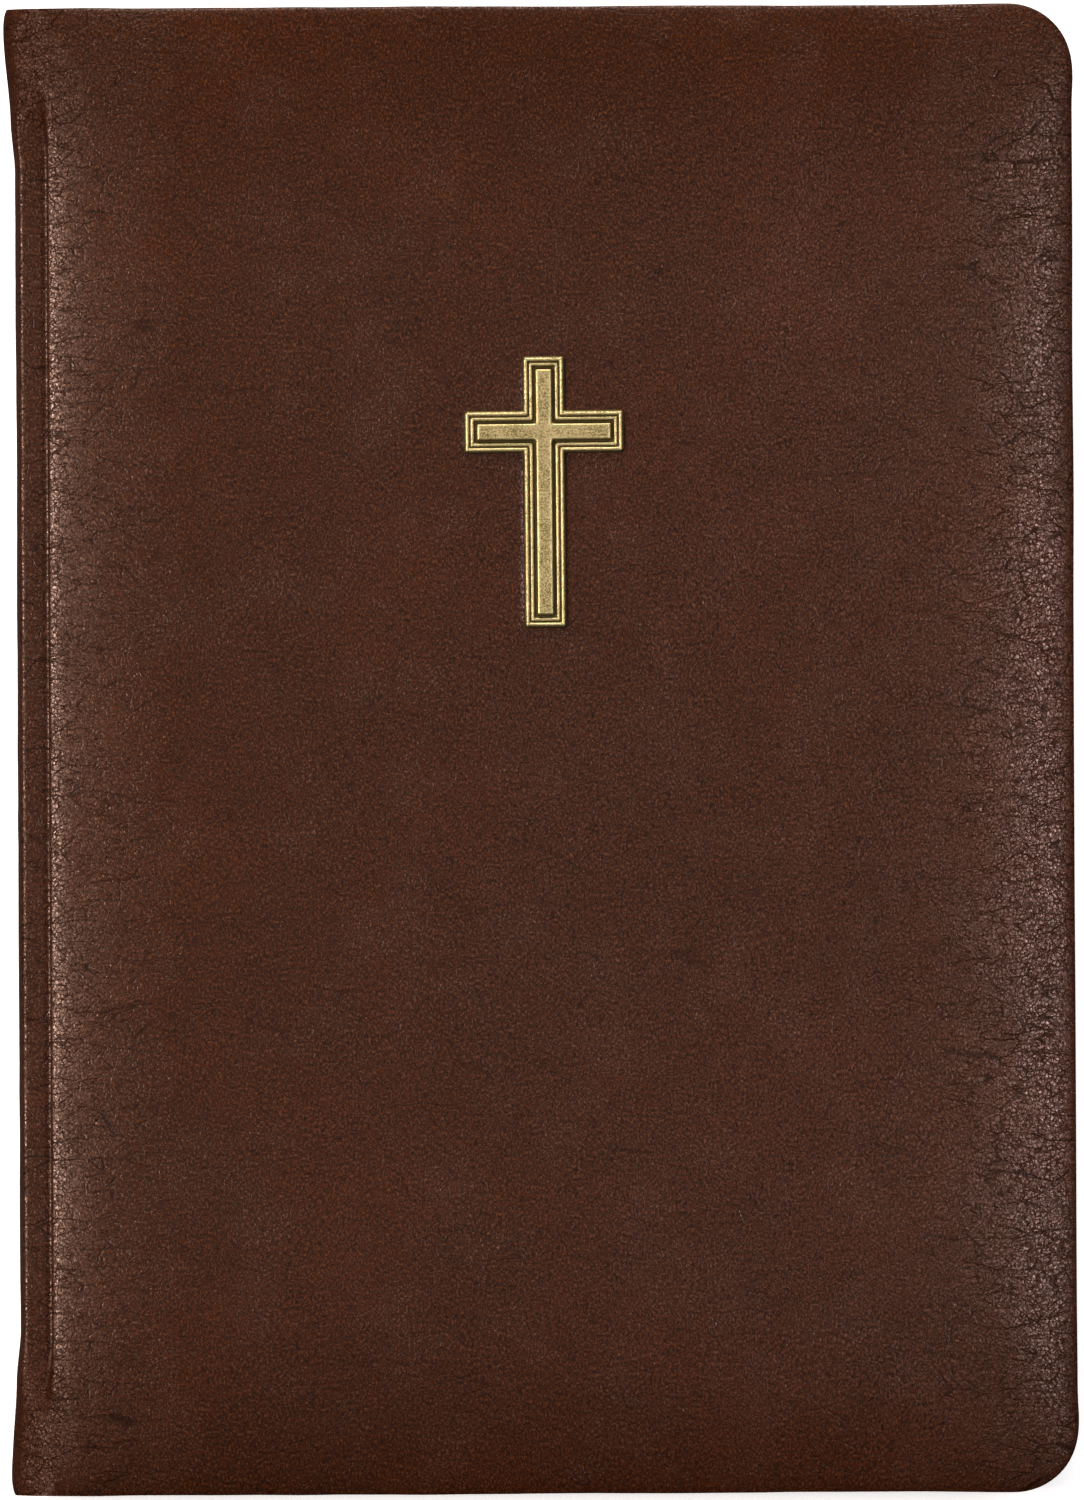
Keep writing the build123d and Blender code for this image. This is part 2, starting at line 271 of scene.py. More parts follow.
def leather_material():
    """Brown leatherette: flat grains between thin gaps, creases that run in from the edges, a mottle; the gaps
    and creases are painted dark as shade and some grains carry painted highlights.
    """
    s = Shader("leatherette")
    flat = place_mm(s, "sheet")
    u = s.add("SeparateXYZ", {0: flat})

    # how near the fore-edge or the spine: 0 in the middle, 1 at the sides
    side = s.step(s.math("ABSOLUTE", s.math("SUBTRACT", u, 86.0)), 46.0, 70.0)

    # duller and darker towards the head and tail, and most of all at the spine's ends
    along = s.math("ABSOLUTE", s.add("SeparateXYZ", {0: flat}, output=1))
    ends = s.step(along, 66.0, 106.0)
    spine_ends = s.math("MULTIPLY", s.step(along, 84.0, 94.0), s.step(u, 9.0, 22.0, 1.0, 0.0))
    drift = s.vector("SUBTRACT", s.noise(flat, 0.05, 2.0, output=1), (0.5, 0.5, 0.5))
    wobble = s.vector("SUBTRACT", s.noise(flat, 0.9, 3.0, 0.6, output=1), (0.5, 0.5, 0.5))
    bent = s.vector("ADD", s.vector("MULTIPLY", drift, (5.0, 5.0, 0.0)), flat)
    bent = s.vector("ADD", s.vector("MULTIPLY", wobble, (0.55, 0.55, 0.0)), bent)
    ragged = s.vector("SUBTRACT", s.noise(flat, 2.4, 2.0, 0.6, output=1), (0.5, 0.5, 0.5))
    bent = s.vector("ADD", s.vector("MULTIPLY", ragged, (0.40, 0.40, 0.0)), bent)

    # the grains and the gaps between them: large ones at the sides, small upright ones in the middle
    large = s.vector("MULTIPLY", bent, (1.10, 1.60, 1.0))
    small = s.add("Mapping", {"Vector": bent, "Rotation": (0, 0, 0.35), "Scale": (2.1, 1.45, 1.0)})
    large_gap = s.step(s.cells(large, 1.0), 0.0, 0.11, 1.0, 0.0)
    small_gap = s.step(s.cells(small, 1.0), 0.0, 0.17, 1.0, 0.0)
    uneven = s.step(s.noise(flat, 0.75, 2.0, 0.6), 0.36, 0.62)
    grown = s.step(s.math("ADD", s.noise(flat, 0.10, 2.0), s.math("MULTIPLY", side, 0.46)), 0.46, 0.80)
    large_gap = s.math("MULTIPLY", large_gap, grown)
    large_gap = s.math("MULTIPLY", large_gap, s.math("MULTIPLY_ADD", uneven, 0.65, 0.30))
    small_gap = s.math("MULTIPLY", small_gap, s.math("MULTIPLY_ADD", grown, -0.25, 0.90))
    gap = s.math("MAXIMUM", large_gap, small_gap)

    # short strokes on the grains, some dark, and some light ones that are painted highlights on the grains'
    # crests
    strokes = s.noise(s.vector("MULTIPLY", bent, (3.7, 2.3, 1.0)), 1.0, 3.0, 0.60)
    glint_stroke = s.step(strokes, 0.53, 0.61)
    dark_stroke = s.step(strokes, 0.38, 0.48, 1.0, 0.0)

    # creases: thin winding lines, level at the sides and slanting elsewhere, broken up by place
    level = s.cells(s.vector("MULTIPLY", bent, (0.15, 0.42, 1.0)), 1.0)
    level = s.step(level, 0.0, 0.040, 1.0, 0.0)
    broken = s.step(s.noise(s.vector("MULTIPLY", flat, (0.10, 0.33, 1.0)), 1.0, 2.0), 0.40, 0.56)
    turned = s.add("Mapping", {"Vector": bent, "Rotation": (0, 0, 0.75), "Scale": (0.11, 0.30, 1.0)})
    slant = s.step(s.cells(turned, 1.0), 0.0, 0.028, 1.0, 0.0)
    broken_too = s.step(s.noise(flat, 0.09, 2.0), 0.48, 0.66)
    level = s.math("MULTIPLY", s.math("MULTIPLY", level, broken), s.math("MULTIPLY_ADD", side, 0.70, 0.30))
    crease = s.math("MAXIMUM", level, s.math("MULTIPLY", s.math("MULTIPLY", slant, broken_too), 0.55))

    # colour: brown with redder patches and a darker mottle, much darker in the gaps and creases as painted
    # shade in the grain's hollows
    patch = s.step(s.noise(flat, 0.028, 3.0, 0.6), 0.42, 0.66)
    cloud = s.step(s.noise(flat, 0.13, 3.0, 0.6), 0.40, 0.68)
    base = s.mix(patch, (0.0365, 0.0081, 0.0015), (0.0462, 0.0092, 0.0012))
    base = s.mix(s.math("MULTIPLY", cloud, 0.35), base, (0.0265, 0.0069, 0.0016))
    # painted highlights: the light strokes made paler and greyer, for glints on the grains' crests
    base = s.mix(s.math("MULTIPLY", glint_stroke, 0.75), base, (0.0860, 0.0285, 0.0092))
    base = s.mix(s.math("MULTIPLY", dark_stroke, 0.80), base, (0.0090, 0.0020, 0.0005))
    # painted shade: the gaps and creases darkened almost to black
    base = s.mix(s.math("MULTIPLY", gap, 0.85), base, (0.005, 0.0013, 0.0004))
    base = s.mix(s.math("MULTIPLY", crease, 0.80), base, (0.004, 0.0010, 0.0003))
    base = s.mix(s.math("MULTIPLY", ends, 0.16), base, (0.010, 0.0020, 0.0004))

    # relief
    height = s.math("MULTIPLY", strokes, 0.06)
    height = s.math("MULTIPLY_ADD", s.math("MAXIMUM", large_gap, crease), -1.0, height)
    height = s.math("MULTIPLY_ADD", small_gap, -0.08, height)
    swell = s.noise(flat, 0.30, 2.0, 0.5)
    normal = s.bump(swell, 0.00012, 0.5)
    normal = s.bump(height, 0.00004, 1.0, normal)
    rough = s.math("MULTIPLY_ADD", gap, 0.25, s.step(strokes, 0.3, 0.7, 0.34, 0.26))
    shine = s.math("MULTIPLY_ADD", glint_stroke, 0.42, 0.34)
    shine = s.math("MULTIPLY", shine, s.math("MULTIPLY_ADD", s.math("MAXIMUM", gap, crease), -0.7, 1.0))
    dulled = s.math("MULTIPLY_ADD", ends, -0.35, 1.0)
    dulled = s.math("MULTIPLY", dulled, s.math("MULTIPLY_ADD", spine_ends, -0.48, 1.0))
    shine = s.math("MULTIPLY", shine, dulled)
    rough = s.math("MULTIPLY_ADD", spine_ends, 0.15, rough)
    return s.finish(
        Base_Color=base, Roughness=rough, Normal=normal,
        Specular_IOR_Level=shine, Specular_Tint=(1.0, 0.76, 0.66),
    )


def brass_material(name, bright):
    """Antique brass: dark patina in the recesses, rubbed bright on the ridges, finely pitted, and painted dark
    as a contact shadow where its level is lowest.
    """
    s = Shader(name)
    spot = place_mm(s)
    wear = s.add("Attribute", output=2, attribute_name="wear")
    pits = s.noise(spot, 3.6, 3.0, 0.7)
    blotch = s.noise(spot, 0.45, 3.0, 0.6)
    rubbed = s.math("ADD", wear, s.math("MULTIPLY", s.math("SUBTRACT", pits, 0.5), 2.4))
    rubbed = s.math("ADD", rubbed, s.math("MULTIPLY", s.math("SUBTRACT", blotch, 0.5), 0.8))
    share = s.step(rubbed, 0.0, 1.0)
    base = s.mix(s.step(blotch, 0.4, 0.65), (0.110, 0.090, 0.024), (0.150, 0.090, 0.034))
    base = s.mix(share, base, bright)
    # dark where the level is low: patina in the hollows, and a painted contact shadow on the cross's foot
    base = s.mix(s.step(wear, -0.25, 0.15, 0.85, 0.0), base, (0.045, 0.033, 0.010))
    rough = s.step(rubbed, 0.0, 1.0, 0.58, 0.36)
    normal = s.bump(pits, 0.00007, 0.8)
    return s.finish(Base_Color=base, Metallic=0.9, Roughness=rough, Normal=normal)


def paper_material(name, colour, shade, fibre=1.0, leaf_pitch=None):
    """Paper: a faint mottle and fibre; leaf_pitch draws the fine lines of stacked leaves on the cut edges,
    painted dark as shade between the leaves.
    """
    s = Shader(name)
    spot = place_mm(s, "rest")
    cloud = s.noise(spot, 0.03, 3.0, 0.6)
    fibres = s.noise(s.vector("MULTIPLY", spot, (1.0, 2.6, 1.0)), 2.2, 4.0, 0.65)
    base = s.mix(s.step(cloud, 0.35, 0.7), colour, shade)
    base = s.mix(s.math("MULTIPLY", s.step(fibres, 0.5, 0.8), 0.25 * fibre), base, shade)
    height = fibres
    if leaf_pitch:
        up = s.add("SeparateXYZ", {0: spot}, output=2)
        wander = s.noise(s.vector("MULTIPLY", spot, (0.05, 0.05, 1.4)), 1.0, 2.0)
        phase = s.math("MULTIPLY_ADD", wander, leaf_pitch * 5, up)
        wave = s.math("PINGPONG", phase, leaf_pitch / 2)
        line = s.step(wave, 0.0, leaf_pitch * 0.22)
        streak = s.noise(s.vector("MULTIPLY", spot, (0.08, 0.08, 7.0)), 1.0, 3.0, 0.7)
        edge = s.add("Attribute", output=2, attribute_name="edge")
        # painted shade: thin dark lines between the stacked leaves on the cut edges
        dark = s.math("MULTIPLY", s.math("SUBTRACT", 1.0, line), edge)
        base = s.mix(s.math("MULTIPLY", dark, 0.5), base, (0.20, 0.16, 0.10))
        tint = s.math("MULTIPLY", s.step(streak, 0.35, 0.7), edge)
        base = s.mix(s.math("MULTIPLY", tint, 0.35), base, (0.42, 0.34, 0.22))
        height = s.math("ADD", s.math("MULTIPLY", fibres, 0.3), s.math("MULTIPLY", line, edge))
    normal = s.bump(height, 0.00004, 0.6)
    return s.finish(Base_Color=base, Roughness=0.86, Normal=normal, Specular_IOR_Level=0.25)


def cloth_material(name, first, second, pitch, threads):
    """Woven cloth in two colours: bands of the given pitch along X+Z, and a fine thread relief."""
    s = Shader(name)
    spot = place_mm(s)
    run = s.add("Attribute", output=2, attribute_name="along")
    wave = s.math("PINGPONG", run, pitch)
    share = s.step(wave, 0.44 * pitch, 0.56 * pitch)
    fuzz = s.noise(spot, 6.0, 3.0, 0.6)
    base = s.mix(share, first, second)
    base = s.mix(s.math("MULTIPLY", fuzz, 0.35), base, tuple(0.45 * c for c in first))
    lines = s.add("TexWave", {"Vector": spot, "Scale": threads, "Distortion": 1.2, "Detail": 2.0}, output=1)
    normal = s.bump(s.math("ADD", lines, fuzz), 0.00008, 0.8)
    return s.finish(Base_Color=base, Roughness=0.82, Normal=normal, Sheen_Weight=0.2)


def plain_fibre_material(name, colour, dark, scale, depth):
    """Board, foam, gauze or kraft paper: a fibrous or cellular surface in two tones."""
    s = Shader(name)
    spot = place_mm(s)
    grain = s.noise(spot, scale, 4.0, 0.65)
    cell = s.cells(spot, scale * 1.6)
    base = s.mix(s.step(grain, 0.35, 0.7), dark, colour)
    base = s.mix(s.math("MULTIPLY", s.step(cell, 0.0, 0.2, 1.0, 0.0), 0.3), base, dark)
    normal = s.bump(s.math("ADD", grain, cell), depth, 0.7)
    return s.finish(Base_Color=base, Roughness=0.9, Normal=normal, Specular_IOR_Level=0.2)


LEATHER = leather_material()
BRASS = brass_material("antique_brass", (0.46, 0.38, 0.185))
PAGE = paper_material("page_paper", (0.60, 0.54, 0.42), (0.55, 0.48, 0.36), leaf_pitch=0.095)
ENDPAPER = paper_material("endpaper", (0.58, 0.52, 0.40), (0.52, 0.46, 0.34), fibre=1.6)
BAND = cloth_material("band_cloth", (0.16, 0.045, 0.02), (0.70, 0.60, 0.42), 0.55, 2.2)
THREAD = plain_fibre_material("thread", (0.72, 0.68, 0.58), (0.50, 0.46, 0.38), 5.0, 0.00004)
GAUZE = cloth_material("gauze", (0.70, 0.67, 0.58), (0.62, 0.59, 0.50), 0.8, 1.4)
GREY_BOARD = plain_fibre_material("grey_board", (0.23, 0.22, 0.19), (0.14, 0.13, 0.11), 2.4, 0.00006)
KRAFT = plain_fibre_material("kraft_paper", (0.36, 0.24, 0.13), (0.27, 0.17, 0.09), 2.0, 0.00004)
WASHER = brass_material("plain_brass", (0.70, 0.52, 0.24))


# ---------------------------------------------------------------- the case


def pad_inset(x, y):
    """How far inside the cover's edge a place is, along the pad's slope, with wider corners further in."""
    low, high = np.zeros_like(x), np.full_like(x, 80.0)
    for _ in range(26):
        d = (low + high) / 2
        right_radius = CORNER_RADIUS + 0.55 * d
        left_radius = 1.5 + 0.9 * d
        radius = np.where(x > 0, right_radius, left_radius)
        ax = np.where(x > 0, x - (COVER_RIGHT - d - radius), (COVER_LEFT + d + radius) - x)
        ay = np.abs(y) - (HALF_Y - d - radius)
        outside = np.hypot(np.maximum(ax, 0), np.maximum(ay, 0)) + np.minimum(np.maximum(ax, ay), 0)
        inside = outside < radius
        low, high = np.where(inside, d, low), np.where(inside, high, d)
    return low


def pad_height(inset):
    """The padded cover's height above the book's middle at a distance inside its edge."""
    steep = np.clip((SLOPE_WIDTH - inset) / SLOPE_WIDTH, 0, 1)
    gentle = np.clip((GENTLE_WIDTH - inset) / GENTLE_WIDTH, 0, 1)
    rise = 0.5 * np.sqrt(np.maximum(1 - steep**2, 0)) + 0.5 * (1 - gentle**2)
    return WALL_TOP_H + (CROWN_H - WALL_TOP_H) * rise


def cross_distance(x, y, inset=0.0):
    """The distance outside the cross's outline, moved in by a distance; negative inside it."""
    cx, cy = (CROSS_LOW[0] + CROSS_HIGH[0]) / 2, (CROSS_LOW[1] + CROSS_HIGH[1]) / 2
    half_w, half_h, arm = (CROSS_HIGH[0] - CROSS_LOW[0]) / 2, (CROSS_HIGH[1] - CROSS_LOW[1]) / 2, CROSS_ARM / 2
    upright = np.maximum(np.abs(x - cx) - (arm - inset), np.abs(y - cy) - (half_h - inset))
    across = np.maximum(np.abs(x - cx) - (half_w - inset), np.abs(y - CROSS_ARM_Y) - (arm - inset))
    return np.minimum(upright, across)


def joint_section():
    """The case's outer line across the joint, from the spine's middle to the pad: (x, height) points."""
    points = [(CREST_X + 0.5 * (step / 20) ** 2, 7.4 * step / 20) for step in range(21)]
    for step in range(1, 13):
        angle = math.radians(90 * step / 12)
        points.append((CREST_X + 0.5 + 0.7 * (1 - math.cos(angle)), 7.4 + 0.8 * math.sin(angle)))
    groove = ((2.115, 8.24), (1.115, 8.24), (0.515, 8.22), (0.065, 8.24))
    points += [(COVER_LEFT - away, level) for away, level in groove]
    points += [(COVER_LEFT + 0.14, 8.5), (COVER_LEFT + 0.14, 9.5), (COVER_LEFT, 10.0)]
    for step in range(0, 41):
        inset = SLOPE_WIDTH * (step / 40) ** 2
        points.append((COVER_LEFT + inset, float(pad_height(inset))))
    return softened(resample(points, np.linspace(0, length_of(points), 400)), 5)


def spread_steps(total, sizes):
    """Distances from 0 to a total, with a step size given at each of several places."""
    places, values = zip(*sizes)
    steps = [0.0]
    while steps[-1] < total:
        steps.append(steps[-1] + float(np.interp(steps[-1], places, values)))
    return np.array(steps) * total / steps[-1]


def end_rows():
    """Distances from the head or tail edge, at even turns round a corner's arc."""
    return CORNER_RADIUS * (1 - np.cos(np.radians(np.arange(0, 91, 5))))


def flare(y):
    """How far the spine stands out at its head and tail, where the turned-in skin makes it thicker."""
    a = np.abs(y)
    most = np.where(y > 0, 1.6, 1.3)
    return 0.6 * smooth((a - 84) / 8) + (most - 0.6) * smooth((a - 91) / 14)


def case_half(name, side, seed):
    """Half of the case: one cover with its joint and half of the spine, as one sheet turned in at the edges."""
    line = joint_section()
    total = length_of(line)
    steps = spread_steps(total, [(0, 0.5), (6, 0.4), (7.5, 0.22), (13, 0.22), (20, 0.7), (40, 0.8)])
    left = resample(line, steps)
    left_count = len(left)
    left_run = steps
    x_flat = left[-1, 0]
    right_block = COVER_RIGHT - SLOPE_WIDTH
    middle = np.arange(x_flat, right_block, 0.78)[1:]
    from_edge = np.concatenate([end_rows(), np.arange(9.8, SLOPE_WIDTH, 0.8)])[::-1]
    edge_share = 1 - from_edge / SLOPE_WIDTH

    ends = np.concatenate([end_rows(), np.arange(CORNER_RADIUS, HALF_Y, 0.78)[1:]])
    ys = np.concatenate([-(HALF_Y - ends), (HALF_Y - ends)[::-1]])
    ys = np.unique(np.round(ys, 5))
    rows = len(ys)

    # places of the top surface, row by row
    e = HALF_Y - np.abs(ys)
    reach = np.where(
        e < CORNER_RADIUS,
        COVER_RIGHT - CORNER_RADIUS + np.sqrt(np.maximum(CORNER_RADIUS**2 - (CORNER_RADIUS - e) ** 2, 0)),
        COVER_RIGHT,
    )
    columns = left_count + len(middle) + len(edge_share)
    x = np.zeros((rows, columns))
    x[:, :left_count] = left[:, 0]
    x[:, left_count : left_count + len(middle)] = middle
    x[:, left_count + len(middle) :] = right_block + (reach[:, None] - right_block) * edge_share
    y = np.repeat(ys[:, None], columns, 1)
    flat_u = np.concatenate([left_run, left_run[-1] + (middle - x_flat)])
    u = np.zeros_like(x)
    u[:, : len(flat_u)] = flat_u
    u[:, len(flat_u) :] = left_run[-1] + (x[:, len(flat_u) :] - x_flat)

    inset = pad_inset(np.maximum(x, COVER_LEFT), y)
    h = pad_height(inset)
    is_left = np.zeros(columns, bool)
    is_left[:left_count] = True
    lower = h - pad_height(np.maximum(x - COVER_LEFT, 0))
    h = np.where(is_left, 0, h)
    share = smooth((left[:, 0] - COVER_LEFT) / 1.2)
    h[:, :left_count] = left[:, 1] + lower[:, :left_count] * share

    # near the head and tail the joint fills up and the spine stands out
    ridge = int(np.argmin(np.abs(left[:, 0] - (COVER_LEFT + 2.6)) + (left[:, 1] < 10) * 9))
    start = int(np.argmin(np.abs(left[:, 1] - 3.5) + (left[:, 0] > -75) * 9))
    t = (left_run[start : ridge + 1] - left_run[start]) / (left_run[ridge] - left_run[start])
    p0, p3 = left[start], left[ridge]
    p1, p2 = np.array([CREST_X - 0.05, 9.9]), np.array([CREST_X + 2.2, 10.1])
    full = (
        ((1 - t) ** 3)[:, None] * p0
        + (3 * t * (1 - t) ** 2)[:, None] * p1
        + (3 * t * t * (1 - t))[:, None] * p2
        + (t**3)[:, None] * p3
    )
    fill = smooth((22 - e) / 13)[:, None]
    x[:, start : ridge + 1] += fill * (full[:, 0] - left[start : ridge + 1, 0])
    h[:, start : ridge + 1] += fill * (full[:, 1] - left[start : ridge + 1, 1])
    out = 1 - smooth((left[:, 0] - (CREST_X + 1.0)) / 4.2)
    x[:, :left_count] -= (0.08 + flare(ys))[:, None] * out

    # outward directions, and the depth through the case to its inner face
    dx, dh = np.gradient(x, axis=1), np.gradient(h, axis=1)
    size = np.hypot(dx, dh)
    nx, nh = -dh / size, dx / size
    on_cover = smooth((left_run - 9.5) / 2.5)
    cover_share = np.ones(columns)
    cover_share[:left_count] = on_cover
    nx = nx * (1 - cover_share)
    nh = nh * (1 - cover_share) + cover_share
    size = np.hypot(nx, nh)
    nx, nh = nx / size, nh / size

    # soft edge over the spine's ends
    cap = 0.55 * (1 - np.sqrt(np.maximum(1 - np.clip((2.6 - e) / 2.6, 0, 1) ** 2, 0)))[:, None]
    cap = cap * (1 - cover_share)
    x, h = x - nx * cap, h - nh * cap

    # the pad's slow unevenness, and the seat of the cross
    soft = smooth(inset / 6) * cover_share
    h += soft * (
        0.16 * noise2(u, y, 34, seed) + 0.07 * noise2(u, y, 13, seed + 1) + 0.03 * noise2(u, y, 5, seed + 2)
    )
    skin_wave = (1 - 0.6 * soft) * (0.05 * noise2(u, y, 9, seed + 3) + 0.03 * noise2(u, y, 3.5, seed + 4))
    x, h = x + nx * skin_wave, h + nh * skin_wave
    if side > 0:
        gap = cross_distance(x, y)
        h -= 0.35 * smooth((-gap - 0.1) / 0.9)
    wobble = 0.09 * noise2(x, y * 0, 17, seed + 5) + 0.05 * noise2(x, y * 0, 6, seed + 6)
    y = y + np.sign(y) * wobble * smooth((np.abs(y) - 98) / 10)
    sideways = 0.08 * noise2(y, x * 0, 19, seed + 7) + 0.16 * np.exp(-(((np.abs(y) - 97.5) / 2.4) ** 2))
    x = x + sideways * smooth((x - 66) / 10)

    # the boundary from the spine's head, round the fore-edge, to the spine's tail
    top = [(rows - 1, c) for c in range(columns)]
    fore = [(r, columns - 1) for r in range(rows - 2, 0, -1)]
    bottom = [(0, c) for c in range(columns - 1, -1, -1)]
    loop = top + fore + bottom
    li, lj = np.array([a for a, _ in loop]), np.array([b for _, b in loop])
    bx, by, bh = x[li, lj], y[li, lj], h[li, lj]
    centre_x = np.clip(bx, None, COVER_RIGHT - CORNER_RADIUS)
    centre_y = np.clip(by, -(HALF_Y - CORNER_RADIUS), HALF_Y - CORNER_RADIUS)
    ox = bx - centre_x
    oy = by - centre_y
    length = np.maximum(np.hypot(ox, oy), 1e-6)
    ox, oy = ox / length, oy / length
    loop_nx, loop_nh = nx[li, lj], nh[li, lj]
    loop_share = cover_share[lj]
    flat_depth = loop_share * (bh - INNER_H) + (1 - loop_share) * (SPINE_WALL - 0.55)
    bend = 0.75 * loop_share + 0.45 * (1 - loop_share)
    bu, bv = u[li, lj], y[li, lj]
    corner = np.clip(np.abs(by) - (HALF_Y - CORNER_RADIUS), 0, None) * np.clip(
        bx - (COVER_RIGHT - CORNER_RADIUS), 0, None
    )
    corner = smooth(corner / 6.0)
    turn = loop_share * (TURN_IN - (TURN_IN - 7.6) * corner) + (1 - loop_share) * SPINE_TURN_IN
    arc_at = np.degrees(np.arctan2(np.abs(oy), np.maximum(ox, 1e-9)))
    rings, ring_u, ring_v = [], [], []
    wall = np.maximum(flat_depth - bend, 0.05)

    def ring(out_by, deep, travelled):
        """Points round the boundary, moved inward by -out_by and down through the case by a depth."""
        px = bx + ox * out_by - loop_nx * deep
        py = by + oy * out_by
        ph = bh - loop_nh * deep
        rings.append(np.stack([px, py, ph], 1))
        ring_u.append(bu + ox * travelled)
        ring_v.append(bv + oy * travelled)

    for part in (0.25, 0.5, 0.75, 1.0):
        ring(0.05 * math.sin(math.pi * part), wall * part, wall * part)
    for angle in (20, 40, 60, 80, 90):
        a = math.radians(angle)
        ring(-bend * (1 - math.cos(a)), wall + bend * math.sin(a), wall + bend * a)
    pleat_count = 9
    for part in (0.06, 0.13, 0.22, 0.34, 0.5, 0.75, 1.0):
        way = bend + (turn - bend) * part
        rise = smooth((way - 0.8) / 1.2) * (1 - smooth((way - 5.5) / 2.0))
        pleat = 0.10 * np.maximum(np.sin(np.radians(arc_at) * 4 * pleat_count), 0) * corner * rise
        ring(-way, flat_depth + pleat - 0.02 * part, wall + bend * 1.57 + way)

    points = np.stack([x, y, h], 2).reshape(-1, 3)
    faces = grid_faces(rows, columns)
    flat_uv = np.stack([u, y], 2).reshape(-1, 2)
    before = li * columns + lj
    for ring_points, ru, rv in zip(rings, ring_u, ring_v):
        now = len(points) + np.arange(len(loop))
        points = np.concatenate([points, ring_points])
        flat_uv = np.concatenate([flat_uv, np.stack([ru, rv], 1)])
        for a in range(len(loop) - 1):
            faces.append((int(before[a]), int(now[a]), int(now[a + 1]), int(before[a + 1])))
        before = now
    sheet = np.concatenate([flat_uv, np.full((len(flat_uv), 1), 7.0 * seed)], 1)
    world = points.copy()
    world[:, 2] = MID_Z + side * points[:, 2]
    if side < 0:
        faces = [f[::-1] for f in faces]
    return make_piece(name, world, faces, LEATHER, {"sheet": sheet})


def build_case():
    """Both halves of the case, which meet along the middle of the spine."""
    for name, side, seed in (("front", 1, 11), ("back", -1, 37)):
        piece = case_half(f"leatherette_case_{name}", side, seed)
        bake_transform(piece)
        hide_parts(f"{name}_skin", f"{name}_foam_pad", f"{name}_joint_skin")
        if side > 0:
            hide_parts("spine_skin")


# ---------------------------------------------------------------- the cross


def cross_profile():
    """The casting's section: (distance in from the outline, height above its seat, rubbing, patina and painted
    shadow), from its foot; the dark foot just outside the outline is a painted contact shadow.
    """
    return [
        # the foot, just outside the outline, is painted dark: a painted contact shadow round the casting
        (-0.10, -0.05, -0.3),
        (-0.13, 0.10, -0.3),
        (-0.10, 0.34, -0.3),
        (-0.02, 0.40, -0.2),
        (0.0, 0.46, 0.1),
        (0.03, 0.58, 0.3),
        (0.10, 0.76, 0.35),
        (0.20, 0.90, 0.5),
        (0.32, 0.985, 0.7),
        (0.46, 1.0, 0.85),
        (0.58, 0.96, 0.8),
        (0.67, 0.86, 0.55),
        (0.73, 0.72, 0.1),
        (0.78, 0.65, -0.15),
        (0.84, 0.66, -0.15),
        (0.90, 0.76, 0.25),
        (0.97, 0.85, 0.6),
        (1.08, 0.885, 0.8),
        (1.22, 0.87, 0.75),
        (1.34, 0.80, 0.5),
        (1.41, 0.64, 0.1),
        (1.45, 0.50, -0.1),
        (1.51, 0.44, -0.2),
        (1.61, 0.43, -0.25),
        (1.72, 0.45, -0.2),
        (1.78, 0.50, -0.05),
        (1.82, 0.70, 0.25),
        (1.86, 0.92, 0.6),
        (1.93, 1.04, 0.9),
        (2.04, 1.085, 0.85),
        (2.25, 1.10, 0.6),
        (2.50, 1.105, 0.5),
        (2.75, 1.105, 0.5),
        (2.97, 1.105, 0.5),
    ]


def cross_ring(inset):
    """The cross's outline moved in by a distance, with its corners rounded; always the same count of points."""
    cx = (CROSS_LOW[0] + CROSS_HIGH[0]) / 2
    half_w, arm = (CROSS_HIGH[0] - CROSS_LOW[0]) / 2, CROSS_ARM / 2
    low, high = CROSS_LOW[1], CROSS_HIGH[1]
    corners = [
        (arm, high, 1), (arm, CROSS_ARM_Y + arm, -1), (half_w, CROSS_ARM_Y + arm, 1),
        (half_w, CROSS_ARM_Y - arm, 1), (arm, CROSS_ARM_Y - arm, -1), (arm, low, 1),
        (-arm, low, 1), (-arm, CROSS_ARM_Y - arm, -1), (-half_w, CROSS_ARM_Y - arm, 1),
        (-half_w, CROSS_ARM_Y + arm, 1), (-arm, CROSS_ARM_Y + arm, -1), (-arm, high, 1),
    ]
    count = len(corners)
    moved = []
    for k, (px, py, _) in enumerate(corners):
        qx, qy, _ = corners[k - 1]
        rx, ry, _ = corners[(k + 1) % count]
        into = Vector((px - qx, py - qy)).normalized()
        away = Vector((rx - px, ry - py)).normalized()
        # the outline runs clockwise, so its inside is to the right
        shift = Vector((into.y, -into.x)) + Vector((away.y, -away.x))
        moved.append(Vector((cx + px, py)) + shift * inset)
    points = []
    for k, (_, _, bulge) in enumerate(corners):
        here, last, following = moved[k], moved[k - 1], moved[(k + 1) % count]
        into, away = (here - last), (following - here)
        room = 0.45 * min(into.length, away.length)
        radius = max(0.16, 0.5 - inset) if bulge > 0 else 0.26 + 0.12 * inset
        radius = min(radius, room)
        into, away = into.normalized(), away.normalized()
        a, b = here - into * radius, here + away * radius
        for step in range(7):
            t = step / 6
            points.append(a * (1 - t) ** 2 + here * 2 * t * (1 - t) + b * t * t)
        _, _, next_bulge = corners[(k + 1) % count]
        beyond = moved[(k + 2) % count] - following
        next_room = 0.45 * min((following - here).length, beyond.length)
        next_radius = max(0.16, 0.5 - inset) if next_bulge > 0 else 0.26 + 0.12 * inset
        end = following - away * min(next_radius, next_room)
        straight = SIDE_STEPS[k % len(SIDE_STEPS)]
        for step in range(1, straight):
            points.append(b.lerp(end, step / straight))
    return np.array([(p.x, p.y) for p in points])


